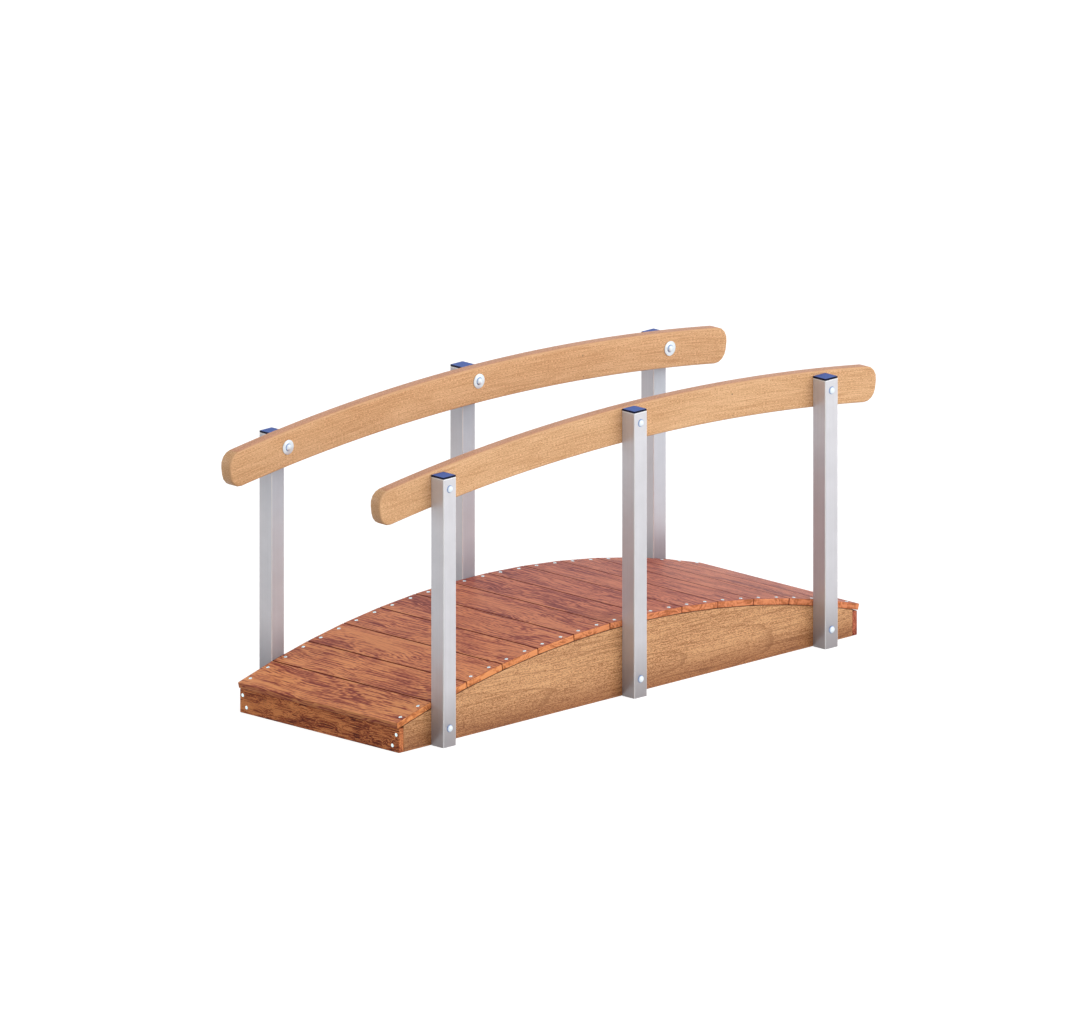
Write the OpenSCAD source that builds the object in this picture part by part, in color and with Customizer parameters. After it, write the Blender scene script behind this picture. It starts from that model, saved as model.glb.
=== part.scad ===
// Small arched timber footbridge with square tube posts and curved handrails.
// X runs along the walkway, Y across it and Z up, in millimetres. The origin is on the ground
// under the middle of the deck. Front is the -Y side and left is the -X end.

/* [Base] */
// Length over the two end boards
base_len = 1800; // [1500:10:2400]
// Width over the outer faces of the two side beams, which is also the length of a deck plank
base_w = 625; // [450:5:900]
// Thickness of a side beam
beam_t = 38; // [28:1:60]
// Height of a side beam at the middle of the bridge
beam_crown_h = 199; // [150:1:300]
// Height of a side beam at its ends
beam_end_h = 76; // [70:1:100]
// Thickness of an end board
end_board_t = 18; // [12:1:30]
// Gap left between the top of an end board and the plank above it
end_board_gap = 1.5; // [0.5:0.5:10]

/* [Deck] */
// Width of a deck plank
plank_w = 140; // [90:1:180]
// Thickness of a deck plank
plank_t = 18; // [14:1:30]
// Smallest gap between two planks, at their undersides
plank_gap = 1; // [0.5:0.5:8]
// How far the deck reaches past the end boards, along the side beams' curve
deck_overhang = 5; // [2:1:20]
// Play under a plank where its middle meets the curve of the side beams
plank_seat = 0.2; // [0.1:0.1:0.5]
// Radius of the eased long edges of planks and end boards
board_edge = 3; // [1:0.5:5]

/* [Handrails] */
// Height of a rail's top edge at the middle of the bridge
rail_top_h = 828; // [650:1:1000]
// How far a rail comes down from the middle post to an end post
rail_fall = 41; // [15:1:90]
// How far a rail runs on past the middle of an end post
rail_reach = 225; // [100:5:350]
// Depth of a rail
rail_depth = 102; // [90:1:140]
// Thickness of a rail
rail_t = 38; // [28:1:50]
// Radius of the eased long edges of a rail
rail_edge = 5; // [2:0.5:8]
// Radius of the rounded corners at the ends of a rail
rail_corner = 40; // [20:1:44]

/* [Posts] */
// Outer width of the square tube
post_w = 50; // [40:1:60]
// Wall of the square tube
post_wall = 2.5; // [1.5:0.5:4]
// Outer corner radius of the square tube
post_corner = 3; // [3:0.5:7]
// Distance from the outer face of an end board to the middle of the nearest post
post_inset = 150; // [80:5:300]
// How far the tube of a middle post stops below the rail's top edge
mid_post_drop = 8; // [2:1:14]
// How far the tube of an end post stops below the rail's top edge
end_post_drop = 15; // [2:1:20]

/* [Post caps] */
// Thickness of a cap's lid
cap_t = 5.5; // [3:0.5:10]
// Radius of the eased top edges of the lid
cap_edge = 1.5; // [0.5:0.5:2.5]
// Depth of the plug that holds the cap in the tube
cap_plug = 16; // [8:1:25]
// Wall of the plug
cap_wall = 2; // [1.5:0.5:3]
// Play between the plug and the tube
cap_play = 0.25; // [0.1:0.05:0.5]

/* [Bolts] */
// Diameter of a bolt
bolt_d = 8; // [6:1:10]
// Play of a bolt or nut sleeve in its hole, on the diameter
hole_play = 1; // [0.5:0.5:2]
// Diameter of the domed heads of bolts and nuts
dome_d = 22; // [18:1:26]
// Height of the domed heads
dome_h = 6; // [4:0.5:9]
// Outer diameter of a nut's threaded sleeve
sleeve_d = 12; // [12:0.5:15]
// Length of a nut's threaded sleeve
sleeve_len = 22; // [15:1:24]
// Play of a bolt in the nut's thread, on the diameter
thread_play = 0.4; // [0.2:0.1:0.6]
// Diameter of the washer on the inner face of a rail or side beam
washer_d = 42; // [30:1:44]
// Thickness of the washer
washer_t = 3; // [2:0.5:4]
// Distance from the top of a post's tube down to its rail bolt
rail_bolt_drop = 31; // [28:1:38]
// Height of the bolts through the side beams
beam_bolt_h = 53; // [30:1:60]

/* [Hidden] */
// Sides of a full circle: the long arcs of beams, rails and domes
fine_fn = 1440;
// Sides of a full circle: holes, bolts and rounded corners
small_fn = 64;
// Length by which a cutting shape stands out of what it cuts
cut_over = 5;

// Side beams: the top edge is one arc through the crown and both ends
beam_len = base_len - 2 * end_board_t;
beam_rise = beam_crown_h - beam_end_h;
beam_r = ((beam_len / 2) ^ 2 + beam_rise ^ 2) / (2 * beam_rise);
beam_centre_h = beam_crown_h - beam_r;
side_y = base_w / 2;

// Deck: as many planks as the curve has room for, with the gaps opened evenly
deck_angle = 2 * asin((base_len / 2 + deck_overhang) / beam_r);
deck_arc = deck_angle / 360 * 2 * PI * beam_r;
plank_count = floor(deck_arc / (plank_w + plank_gap));
plank_angle = deck_angle / plank_count;
seat_r = beam_r + plank_seat;

// End boards: they stop under the underside of the end plank, taken at their outer face
end_plank_angle = plank_angle * (plank_count - 1) / 2;
end_plank_under = beam_centre_h + (seat_r - base_len / 2 * sin(end_plank_angle)) / cos(end_plank_angle);
end_board_h = end_plank_under - end_board_gap;

// Handrails: the middle line is one arc that falls by rail_fall from the middle post to an end post
post_x = base_len / 2 - post_inset;
rail_mid_h = rail_top_h - rail_depth / 2;
rail_r = (post_x ^ 2 + rail_fall ^ 2) / (2 * rail_fall);
rail_centre_h = rail_mid_h - rail_r;
rail_angle = asin((post_x + rail_reach) / rail_r);

// Posts: they stand against the outer faces of the side beams and rails
post_y = side_y + post_w / 2;
post_inner_w = post_w - 2 * post_wall;
post_inner_corner = max(post_corner - post_wall, 0.5);
mid_post_h = rail_top_h - mid_post_drop;
end_post_h = rail_top_h - rail_fall - end_post_drop;

// Bolts: one dome on a post's outer face, a washer and a sleeve nut on the inner face of the timber
dome_r = ((dome_d / 2) ^ 2 + dome_h ^ 2) / (2 * dome_h);
bolt_hole_d = bolt_d + hole_play;
sleeve_hole_d = sleeve_d + hole_play;
thread_d = bolt_d + thread_play;
// Bolt end's distance from the outer face of the washer, inside the sleeve
bolt_short = 2;

// Each side has its name and the sign of its Y, each post its name, place along X and height
SIDES = [["front", -1], ["back", 1]];
STATIONS = [["left", -post_x, end_post_h], ["middle", 0, mid_post_h], ["right", post_x, end_post_h]];

function plank_name(i) = str("deck_plank_", i < 10 ? "0" : "", i);
function post_name(side, station) = str(side[0], "_", station[0], "_post");

// Rectangle about the origin with four rounded corners
module rounded_rect(size, r) {
    square([size.x, size.y - 2 * r], center = true);
    square([size.x - 2 * r, size.y], center = true);
    for (x = [-1, 1], y = [-1, 1])
        translate([x * (size.x / 2 - r), y * (size.y / 2 - r)]) circle(r, $fn = small_fn);
}

// Section of a board lying on its back, with its two upper edges eased
module eased_section(w, t, r) {
    translate([-w / 2, 0]) square([w, t - r]);
    translate([-w / 2 + r, 0]) square([w - 2 * r, t]);
    for (x = [-1, 1])
        translate([x * (w / 2 - r), t - r]) circle(r, $fn = small_fn);
}

// Stands a flat XY outline up in the XZ plane and gives it a thickness centred on Y = 0
module upright(thickness) {
    rotate([90, 0, 0]) linear_extrude(thickness, center = true) children();
}

// Hole or shank across the bridge, from one Y to another, on a line at X and Z
module cross_rod(x, z, y_from, y_to, d) {
    translate([x, min(y_from, y_to), z]) rotate([-90, 0, 0])
        cylinder(d = d, h = abs(y_to - y_from), $fn = small_fn);
}

// Dome with its flat face on Z = 0
module dome() {
    rotate_extrude($fn = small_fn) intersection() {
        translate([0, dome_h - dome_r]) circle(dome_r, $fn = fine_fn);
        square([dome_d, dome_h]);
    }
}

// Places its children on a face at Y = y, pointing out of the front or back
module on_face(x, y, z, outward) {
    translate([x, y, z]) rotate([outward > 0 ? -90 : 90, 0, 0]) children();
}

// Sawn side beam: flat underside, arched top edge, and a sleeve hole at each post
module side_beam(side) {
    color("tan") difference() {
        translate([0, side[1] * (side_y - beam_t / 2), 0]) upright(beam_t) intersection() {
            translate([-beam_len / 2, 0]) square([beam_len, beam_crown_h + cut_over]);
            translate([0, beam_centre_h]) circle(beam_r, $fn = fine_fn);
        }
        for (station = STATIONS)
            cross_rod(station[1], beam_bolt_h, side[1] * (side_y + cut_over),
                side[1] * (side_y - beam_t - cut_over), sleeve_hole_d);
    }
}

// Board across the end of both side beams, with its eased face outwards
module end_board(end) {
    color("sienna") translate([end * (base_len / 2 - end_board_t), 0, end_board_h / 2])
        rotate([0, end * 90, 0]) upright(base_w) eased_section(end_board_h, end_board_t, board_edge);
}

// Flat plank, square to the side beams' curve at its own middle
module deck_plank(i) {
    angle = plank_angle * (i - (plank_count + 1) / 2);
    color("chocolate") translate([0, 0, beam_centre_h]) rotate([0, angle, 0]) translate([0, 0, seat_r])
        upright(base_w) eased_section(plank_w, plank_t, board_edge);
}

// Square tube, open at the bottom, with a bolt hole through both walls at the rail and at the beam
module post(side, station) {
    color("silver") difference() {
        translate([station[1], side[1] * post_y, 0]) linear_extrude(station[2]) difference() {
            rounded_rect([post_w, post_w], post_corner);
            rounded_rect([post_inner_w, post_inner_w], post_inner_corner);
        }
        for (z = [beam_bolt_h, station[2] - rail_bolt_drop])
            cross_rod(station[1], z, side[1] * (side_y - cut_over),
                side[1] * (side_y + post_w + cut_over), bolt_hole_d);
    }
}

// Moulded cap: a lid with eased edges on the end of the tube, and a hollow plug inside it
module post_cap(side, station) {
    plug_w = post_inner_w - 2 * cap_play;
    color("royalblue") translate([station[1], side[1] * post_y, station[2]]) {
        intersection() {
            linear_extrude(cap_t) rounded_rect([post_w, post_w], post_corner);
            upright(post_w) eased_section(post_w, cap_t, cap_edge);
            rotate([0, 0, 90]) upright(post_w) eased_section(post_w, cap_t, cap_edge);
        }
        translate([0, 0, -cap_plug]) linear_extrude(cap_plug) difference() {
            rounded_rect([plug_w, plug_w], post_inner_corner);
            square(plug_w - 2 * cap_wall, center = true);
        }
    }
}

// What is cut from one corner at the right end of a rail, drawn about the middle of the rail's arc:
// a quarter circle stays, touching the end and the upper (edge = 1) or lower (edge = -1) long edge
module rail_corner_waste(edge) {
    centre_r = rail_r + edge * (rail_depth / 2 - rail_corner);
    angle = rail_angle - asin(rail_corner / centre_r);
    waste = rail_corner + cut_over;
    to_edge = edge * waste * [sin(angle), cos(angle)];
    to_end = waste * [cos(rail_angle), -sin(rail_angle)];
    translate(centre_r * [sin(angle), cos(angle)]) difference() {
        polygon([[0, 0], to_edge, to_edge + to_end, to_end]);
        circle(rail_corner, $fn = 4 * small_fn);
    }
}

// Curved handrail: an eased section carried along the rail's arc, with round corners at the ends
module handrail(side) {
    color("burlywood") difference() {
        translate([0, side[1] * (side_y - rail_t / 2), rail_centre_h]) difference() {
            rotate([90, 0, 0])
                rotate_extrude(angle = 2 * rail_angle, start = 90 - rail_angle, $fn = fine_fn)
                    translate([rail_r, 0]) rounded_rect([rail_depth, rail_t], rail_edge);
            for (end = [0, 1], edge = [-1, 1])
                mirror([end, 0, 0]) upright(rail_t + 2 * cut_over) rail_corner_waste(edge);
        }
        for (station = STATIONS)
            cross_rod(station[1], station[2] - rail_bolt_drop, side[1] * (side_y + cut_over),
                side[1] * (side_y - rail_t - cut_over), sleeve_hole_d);
    }
}

// Height of the bolt through the rail or the side beam at one post
function bolt_h(station, at_rail) = at_rail ? station[2] - rail_bolt_drop : beam_bolt_h;

// Dome-headed bolts, each with its head on a post's outer face and its end in a sleeve nut
module bolts(at_rail) {
    timber_t = at_rail ? rail_t : beam_t;
    color("gainsboro") for (side = SIDES, station = STATIONS) {
        on_face(station[1], side[1] * (side_y + post_w), bolt_h(station, at_rail), side[1]) dome();
        cross_rod(station[1], bolt_h(station, at_rail), side[1] * (side_y + post_w),
            side[1] * (side_y - timber_t - washer_t + bolt_short), bolt_d);
    }
}

// Wide washers on the inner face of the timber
module washers(at_rail) {
    timber_t = at_rail ? rail_t : beam_t;
    color("lightgray") for (side = SIDES, station = STATIONS)
        on_face(station[1], side[1] * (side_y - timber_t), bolt_h(station, at_rail), -side[1])
            difference() {
                cylinder(d = washer_d, h = washer_t, $fn = small_fn);
                translate([0, 0, -cut_over])
                    cylinder(d = sleeve_hole_d, h = washer_t + 2 * cut_over, $fn = small_fn);
            }
}

// Domed nuts on the washers, each with a threaded sleeve that reaches back into the timber
module nuts(at_rail) {
    timber_t = at_rail ? rail_t : beam_t;
    color("gainsboro") for (side = SIDES, station = STATIONS)
        on_face(station[1], side[1] * (side_y - timber_t - washer_t), bolt_h(station, at_rail), -side[1])
            difference() {
                union() {
                    dome();
                    translate([0, 0, -sleeve_len]) cylinder(d = sleeve_d, h = sleeve_len, $fn = small_fn);
                }
                translate([0, 0, -sleeve_len - cut_over])
                    cylinder(d = thread_d, h = sleeve_len + cut_over, $fn = small_fn);
            }
}

for (side = SIDES) {
    side_beam(side);
    handrail(side);
    for (station = STATIONS) {
        post(side, station);
        post_cap(side, station);
    }
}
for (i = [1:plank_count])
    deck_plank(i);
end_board(-1);  // left_end_board
end_board(1);  // right_end_board
bolts(true);  // rail_bolts
washers(true);  // rail_washers
nuts(true);  // rail_nuts
bolts(false);  // beam_bolts
washers(false);  // beam_washers
nuts(false);  // beam_nuts
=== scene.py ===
import math

import bpy
import numpy as np
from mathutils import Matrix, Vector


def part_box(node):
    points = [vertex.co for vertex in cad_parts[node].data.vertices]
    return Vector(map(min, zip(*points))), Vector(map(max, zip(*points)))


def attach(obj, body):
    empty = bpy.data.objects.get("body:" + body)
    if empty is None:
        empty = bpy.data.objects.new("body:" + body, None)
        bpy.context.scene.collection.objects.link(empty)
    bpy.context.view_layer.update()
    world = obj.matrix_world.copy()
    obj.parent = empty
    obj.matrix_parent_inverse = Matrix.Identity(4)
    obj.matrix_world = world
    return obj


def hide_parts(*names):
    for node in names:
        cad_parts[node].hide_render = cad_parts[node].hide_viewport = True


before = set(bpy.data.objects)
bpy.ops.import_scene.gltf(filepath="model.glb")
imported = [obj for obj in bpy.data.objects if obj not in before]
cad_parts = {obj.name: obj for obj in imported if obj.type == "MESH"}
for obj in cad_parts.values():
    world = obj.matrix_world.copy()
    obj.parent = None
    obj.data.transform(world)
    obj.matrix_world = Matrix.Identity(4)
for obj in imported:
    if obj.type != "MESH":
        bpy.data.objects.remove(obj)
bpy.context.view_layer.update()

# Side beams
# Two boards of oiled beech, band-sawn to a flat underside and one long arched top edge, then sanded.
# They stand on the ground on edge, and the deck is screwed down on their arched edges.

BEAM_END_H = 0.076
BEAM_EASE = 0.0015
BEAM_CUTS = {"front": (0.4, -0.05, 0.0), "back": (2.1, -0.05, 0.0)}
BEAM_COLUMNS = 97
BEAM_ROWS = 4
EASE_STEPS = 4
FACE_MARGIN = 0.0008


def linear(hex_colour):
    """Linear RGBA of an sRGB hex colour: each channel goes through the sRGB curve."""
    srgb = np.array([int(hex_colour[i : i + 2], 16) for i in (1, 3, 5)]) / 255
    rgb = np.where(srgb <= 0.04045, srgb / 12.92, ((srgb + 0.055) / 1.055) ** 2.4)
    return (*rgb.tolist(), 1.0)


def add(tree, kind, sockets=None, stops=None, **fields):
    """Adds one node: its fields, its colour stops, and a value or a link for each socket named."""
    node = tree.nodes.new("ShaderNode" + kind)
    for name, value in fields.items():
        setattr(node, name, value)
    for i, (place, colour) in enumerate(stops or []):
        points = node.color_ramp.elements
        point = points[i] if i < len(points) else points.new(place)
        point.position, point.color = place, linear(colour)
    for name, value in (sockets or {}).items():
        if isinstance(value, bpy.types.NodeSocket):
            tree.links.new(value, node.inputs[name])
        else:
            node.inputs[name].default_value = value
    return node


def new_material(name):
    """An empty material: its node tree and its surface shader."""
    material = bpy.data.materials.new(name)
    material.use_nodes = True
    tree = material.node_tree
    tree.nodes.clear()
    shader = add(tree, "BsdfPrincipled")
    add(tree, "OutputMaterial", {"Surface": shader.outputs[0]})
    return material, tree, shader


def eased_board(face, thickness, ease):
    """A closed board. face(inset) fills the board's outline, drawn in by inset, with a grid of points.
    Both faces are that grid, and the rim joins their borders: on an eased edge at angle a the inset is
    ease * (1 - sin a) and the depth below the face ease * (1 - cos a). Returns the points as (along the
    grid's columns, along its rows, depth), the quads, and how far each point is on an eased edge."""
    angles = np.linspace(0, np.pi / 2, EASE_STEPS + 1)
    inset = ease * (1 - np.sin(angles))
    depth = ease * (1 - np.cos(angles))
    # The edge value peaks halfway round an ease: wear, and a painted highlight on the rounded edge
    wear_and_highlight = np.sin(2 * angles)
    insets = np.concatenate([inset, inset[::-1]])
    depths = np.concatenate([depth, thickness - depth[::-1]])
    wears_and_highlights = np.concatenate([wear_and_highlight, wear_and_highlight[::-1]])

    grid = face(ease + FACE_MARGIN)
    columns, rows = grid.shape[:2]
    index = np.arange(columns * rows).reshape(columns, rows)
    border = np.concatenate([index[:, 0], index[-1, 1:], index[-2::-1, -1], index[0, -2:0:-1]])
    loops = np.stack([face(i).reshape(-1, 2)[border] for i in insets])

    flat = grid.reshape(-1, 2)
    near = np.column_stack([flat, np.zeros(len(flat))])
    far = np.column_stack([flat, np.full(len(flat), thickness)])
    rim = np.concatenate([loops, np.broadcast_to(depths[:, None, None], (*loops.shape[:2], 1))], axis=2)
    points = np.concatenate([near, far, rim.reshape(-1, 3)])
    edge = np.concatenate([np.zeros(2 * len(flat)), np.repeat(wears_and_highlights, len(border))])

    cells = np.stack([index[:-1, :-1], index[1:, :-1], index[1:, 1:], index[:-1, 1:]], axis=-1)
    cells = cells.reshape(-1, 4)
    rings = np.arange(2 * len(flat), len(points)).reshape(len(insets), len(border))
    rings = np.concatenate([border[None], rings, border[None] + len(flat)])
    ahead = np.roll(rings, -1, axis=1)
    bands = np.stack([rings[:-1], ahead[:-1], ahead[1:], rings[1:]], axis=-1).reshape(-1, 4)
    return points, np.concatenate([cells[:, ::-1], cells + len(flat), bands]), edge


def make_piece(name, points, faces, material, slot, nodes, grain=None, edge=None):
    """A mesh object at the origin that rides on the bridge and stands for the named solids."""
    mesh = bpy.data.meshes.new(name)
    mesh.from_pydata(np.asarray(points).tolist(), [], [list(f) for f in faces])
    mesh.polygons.foreach_set("use_smooth", np.ones(len(mesh.polygons), bool))
    if grain is not None:
        layer = mesh.attributes.new("grain", "FLOAT_VECTOR", "POINT")
        layer.data.foreach_set("vector", np.asarray(grain, np.float32).ravel())
    if edge is not None:
        layer = mesh.attributes.new("edge", "FLOAT", "POINT")
        layer.data.foreach_set("value", np.asarray(edge, np.float32))
    mesh.materials.append(material)
    mesh.update()
    piece = bpy.data.objects.new(name, mesh)
    bpy.context.scene.collection.objects.link(piece)
    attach(piece, "root")
    if nodes:
        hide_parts(*nodes)
    return piece


def oiled_beech(name, pale, middle, line, foot, fleck_length, figure):
    """Oiled beech, sanded: an even tan with a dense short fleck over long thin fibres, growth rings that
    arch where the board is cut flat, a few darker veins, and a soft sheen. The distance from the pith, bent
    by a slow sway, counts the rings. Edge over 0 goes back to the middle tone, for wear and a painted
    highlight along the rounded edges. Edge under 0 gets a painted shade line in a darker brown, for the
    shadow under the deck's planks. foot is a painted shade over the last few centimetres above the ground.
    Real fleck and fibres are under half a millimetre wide, and are drawn about three times as wide, so that
    they show."""
    material, tree, shader = new_material(name)
    # Waves per metre along, across and through the grain
    fleck_rate = (1 / fleck_length, 1 / 0.0012, 1 / 0.0012)
    fibre_rate = (1 / 0.09, 1 / 0.0017, 1 / 0.0017)
    vein_rate = (1 / 0.16, 1 / 0.005, 1 / 0.005)
    sway_rate = (1.1, 7.0, 7.0)
    patch_scale = 2.3
    ring_spacing = 0.022
    pith_depth = 0.09
    taper = 0.045
    sway_depth = 0.045
    fibre_share = 0.5
    patch_share = 0.3
    darkest, palest = 0.715, 1.025
    late_start, late_end = 0.9, 0.99
    vein_start, vein_full = 0.6, 0.74
    vein_shade = 0.65
    # Painted shade toward the ground: clear at the first height, full at the second
    shade_clear_height, shade_full_height = 0.095, -0.01
    # A painted shade line for the beam's top edge, in the shadow under the planks
    shade_line_brown = "#6B4426"
    grain = add(tree, "Attribute", attribute_name="grain").outputs["Vector"]
    axes = add(tree, "SeparateXYZ", {0: grain}).outputs
    slow = add(tree, "VectorMath", {0: grain, 1: sway_rate}, operation="MULTIPLY").outputs[0]
    sway = add(tree, "TexNoise", {"Vector": slow, "Scale": 1.0, "Detail": 3.0}).outputs[0]
    lift = add(tree, "Math", {0: axes[0], 1: taper, 2: pith_depth}, operation="MULTIPLY_ADD").outputs[0]
    swayed = add(tree, "Math", {0: sway, 1: sway_depth, 2: lift}, operation="MULTIPLY_ADD").outputs[0]
    deep = add(tree, "Math", {0: axes[2], 1: swayed}, operation="ADD").outputs[0]
    from_pith = add(tree, "CombineXYZ", {0: axes[1], 1: deep}).outputs[0]
    radius = add(tree, "VectorMath", {0: from_pith}, operation="LENGTH").outputs["Value"]
    count = add(tree, "Math", {0: radius, 1: ring_spacing}, operation="DIVIDE").outputs[0]
    ring = add(tree, "Math", {0: count}, operation="FRACT").outputs[0]
    late = add(tree, "MapRange", {0: ring, 1: late_start, 2: late_end, 3: 0.0, 4: figure}).outputs[0]
    flecks = add(tree, "VectorMath", {0: grain, 1: fleck_rate}, operation="MULTIPLY").outputs[0]
    fleck = add(tree, "TexNoise", {"Vector": flecks, "Scale": 1.0, "Detail": 0.0}).outputs[0]
    patch = add(tree, "TexNoise", {"Vector": slow, "Scale": patch_scale, "Detail": 2.0}).outputs[0]
    fibres = add(tree, "VectorMath", {0: grain, 1: fibre_rate}, operation="MULTIPLY").outputs[0]
    fibre = add(tree, "TexNoise", {"Vector": fibres, "Scale": 1.0, "Detail": 0.0}).outputs[0]
    fibrous = add(tree, "Math", {0: fibre, 1: fibre_share, 2: fleck}, operation="MULTIPLY_ADD").outputs[0]
    tone = add(tree, "Math", {0: patch, 1: patch_share, 2: fibrous}, operation="MULTIPLY_ADD").outputs[0]
    spread = add(tree, "MapRange", {0: tone, 1: darkest, 2: palest, 3: 0.0, 4: 1.0}).outputs[0]
    body = add(tree, "ValToRGB", {0: spread}, stops=[(0.0, line), (0.56, middle), (1.0, pale)]).outputs[0]
    ringed = add(tree, "Mix", {0: late, 6: body, 7: linear(line)}, data_type="RGBA").outputs[2]
    edge = add(tree, "Attribute", attribute_name="edge").outputs["Fac"]
    veins = add(tree, "VectorMath", {0: grain, 1: vein_rate}, operation="MULTIPLY").outputs[0]
    vein = add(tree, "TexNoise", {"Vector": veins, "Scale": 1.0, "Detail": 1.0}).outputs[0]
    thin = add(tree, "MapRange", {0: vein, 1: vein_start, 2: vein_full, 3: 0.0, 4: vein_shade}).outputs[0]
    veined = add(tree, "Mix", {0: thin, 6: ringed, 7: linear(line)}, data_type="RGBA").outputs[2]
    # Wear and a painted highlight: edge over 0 goes back to the middle tone
    edge_highlight = add(tree, "Mix", {0: edge, 6: veined, 7: linear(middle)}, data_type="RGBA").outputs[2]
    # Edge under 0 takes the painted shade line
    shade_line = add(tree, "Math", {0: edge, 1: -1.0}, operation="MULTIPLY").outputs[0]
    edged = add(tree, "Mix", {0: shade_line, 6: edge_highlight, 7: linear(shade_line_brown)}, data_type="RGBA").outputs[2]
    height = add(tree, "SeparateXYZ", {0: add(tree, "TexCoord").outputs["Object"]}).outputs[2]
    low = add(tree, "MapRange", {0: height, 1: shade_clear_height, 2: shade_full_height, 3: 0.0, 4: 1.0},
        interpolation_type="SMOOTHSTEP").outputs[0]
    foot_shaded = add(tree, "Mix", {0: low, 6: edged, 7: linear(foot)}, data_type="RGBA", blend_type="MULTIPLY")
    tree.links.new(foot_shaded.outputs[2], shader.inputs["Base Color"])
    shader.inputs["Roughness"].default_value = 0.45
    shader.inputs["Specular IOR Level"].default_value = 0.4
    bump = add(tree, "Bump", {"Height": fleck, "Strength": 0.1, "Distance": 0.0006})
    tree.links.new(bump.outputs[0], shader.inputs["Normal"])
    return material


beam_low, beam_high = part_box("front_side_beam")
beam_len = beam_high.x - beam_low.x
beam_t = beam_high.y - beam_low.y
beam_crown_h = round(beam_high.z, 3)
beam_rise = beam_crown_h - BEAM_END_H
beam_r = ((beam_len / 2) ** 2 + beam_rise**2) / (2 * beam_rise)
beam_centre_h = beam_crown_h - beam_r


def beam_face(inset):
    """Columns run along the beam, and rows from its underside up to the arc: the height of the arc is its
    centre's plus the root of the radius squared less x squared."""
    x = np.linspace(-beam_len / 2 + inset, beam_len / 2 - inset, BEAM_COLUMNS)
    top = beam_centre_h + np.sqrt((beam_r - inset) ** 2 - x**2)
    z = inset + (top - inset)[:, None] * np.linspace(0, 1, BEAM_ROWS)
    return np.stack([np.broadcast_to(x[:, None], z.shape), z], axis=-1)


# The fourth colour is the painted shade toward the ground
beam_beech = oiled_beech("oiled_beech_beam", "#E2AE7C", "#CF9667", "#A06A3E", "#C2A88F", 0.0055, 0.6)
for side, cut in BEAM_CUTS.items():
    _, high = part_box(side + "_side_beam")
    local, faces, edge = eased_board(beam_face, beam_t, BEAM_EASE)
    points = np.column_stack([local[:, 0], high.y - local[:, 2], local[:, 1]])
    # The beam's top edge under the planks is marked -1, for a painted shade line
    below_arc = beam_centre_h + np.sqrt(beam_r**2 - local[:, 0] ** 2) - local[:, 1]
    edge = np.where(below_arc < 0.9 * BEAM_EASE, -1.0, edge)
    make_piece(side + "_beam", points, faces, beam_beech, "beam_timber", [side + "_side_beam"], local + cut,
        edge)

# End boards
# Short boards of the same stained hardwood as the deck, screwed across the ends of the side beams under
# the end planks. Their faces show the darkest, finest and boldest figure of the bridge.

BOARD_EASE = 0.002
BOARD_CORNER = 0.0025
BOARD_GRID = (9, 4)
BOARD_FINER = [2.6, 2.3, 2.3]
CUT_LOW = [-4, -0.06, 0]
CUT_HIGH = [4, 0.06, 0.02]
CORNER_POINTS = 5


def rounded_face(length, depth, corner, columns, rows):
    """The face of a straight board with four corners of one radius: the half depth at a column is the
    full one between the corners, and follows a quarter circle of the corner's radius at the ends."""

    def face(inset):
        half_length, half_depth = length / 2 - inset, depth / 2 - inset
        r = max(corner - inset, corner * 0.05)
        angles = np.linspace(0, np.pi / 2, CORNER_POINTS)
        end_p = half_length - r + r * np.cos(angles)
        end_q = half_depth - r + r * np.sin(angles)
        middle = np.linspace(-half_length + r, half_length - r, columns)[1:-1]
        p = np.concatenate([-end_p, middle, end_p[::-1]])
        half = np.concatenate([end_q, np.full(len(middle), half_depth), end_q[::-1]])
        q = half[:, None] * np.linspace(-1, 1, rows)
        return np.stack([np.broadcast_to(p[:, None], q.shape), q], axis=-1)

    return face


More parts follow.
